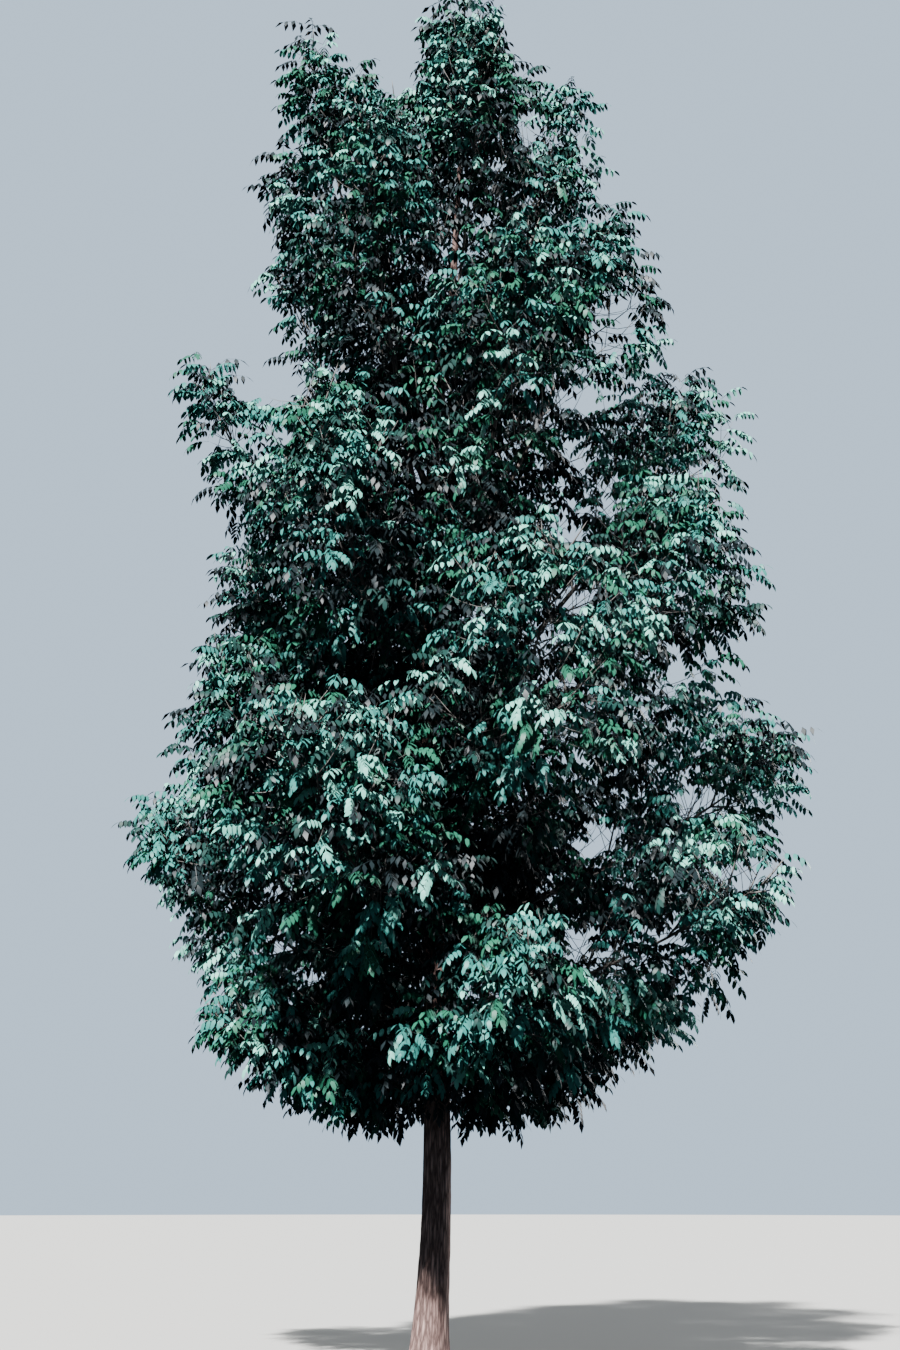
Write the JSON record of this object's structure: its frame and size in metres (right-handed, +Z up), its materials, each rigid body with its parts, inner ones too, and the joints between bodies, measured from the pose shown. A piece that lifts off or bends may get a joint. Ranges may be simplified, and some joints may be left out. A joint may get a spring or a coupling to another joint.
{
  "type": "black ash tree",
  "caption": "Young black ash in summer leaf: a straight flared trunk, crossed pairs of upswept boughs, and narrow masses of arching leaves that end in spires.",
  "frame": {"origin": "centre of the flat cut under the trunk, at ground level", "axes": "+Z up along the trunk; the front of the tree, as pictured, faces -Y; +X is the crown's broader side"},
  "size_m": [7.0194, 6.1249, 13.9],
  "materials": {
    "trunk_bark": "corky, softly fissured bark, grey with a pinkish cast",
    "bough_bark": "smooth pale bark of the upper limbs",
    "foliage": "dark blue-green leaves with a greyish sheen"
  },
  "bodies": {
    "root": {"bough_01_left": "bough_bark", "bough_01_right": "bough_bark", "bough_02_back": "bough_bark", "bough_02_front": "bough_bark", "bough_03_left": "bough_bark", "bough_03_right": "bough_bark", "bough_04_back": "bough_bark", "bough_04_front": "bough_bark", "bough_05_left": "bough_bark", "bough_05_right": "bough_bark", "bough_06_back": "bough_bark", "bough_06_front": "bough_bark", "bough_07_left": "bough_bark", "bough_07_right": "bough_bark", "bough_08_back": "bough_bark", "bough_08_front": "bough_bark", "bough_09_left": "bough_bark", "bough_09_right": "bough_bark", "bough_10_back": "bough_bark", "bough_10_front": "bough_bark", "bough_11_left": "bough_bark", "bough_11_right": "bough_bark", "bough_12_back": "bough_bark", "bough_12_front": "bough_bark", "bough_13_left": "bough_bark", "bough_13_right": "bough_bark", "bough_14_back": "bough_bark", "bough_14_front": "bough_bark", "foliage_01_left": "foliage", "foliage_01_right": "foliage", "foliage_02_back": "foliage", "foliage_02_front": "foliage", "foliage_03_left": "foliage", "foliage_03_right": "foliage", "foliage_04_back": "foliage", "foliage_04_front": "foliage", "foliage_05_left": "foliage", "foliage_05_right": "foliage", "foliage_06_back": "foliage", "foliage_06_front": "foliage", "foliage_07_left": "foliage", "foliage_07_right": "foliage", "foliage_08_back": "foliage", "foliage_08_front": "foliage", "foliage_09_left": "foliage", "foliage_09_right": "foliage", "foliage_10_back": "foliage", "foliage_10_front": "foliage", "foliage_11_left": "foliage", "foliage_11_right": "foliage", "foliage_12_back": "foliage", "foliage_12_front": "foliage", "foliage_13_left": "foliage", "foliage_13_right": "foliage", "foliage_14_back": "foliage", "foliage_14_front": "foliage", "foliage_leader": "foliage", "trunk": "trunk_bark"}
  },
  "joints": []
}
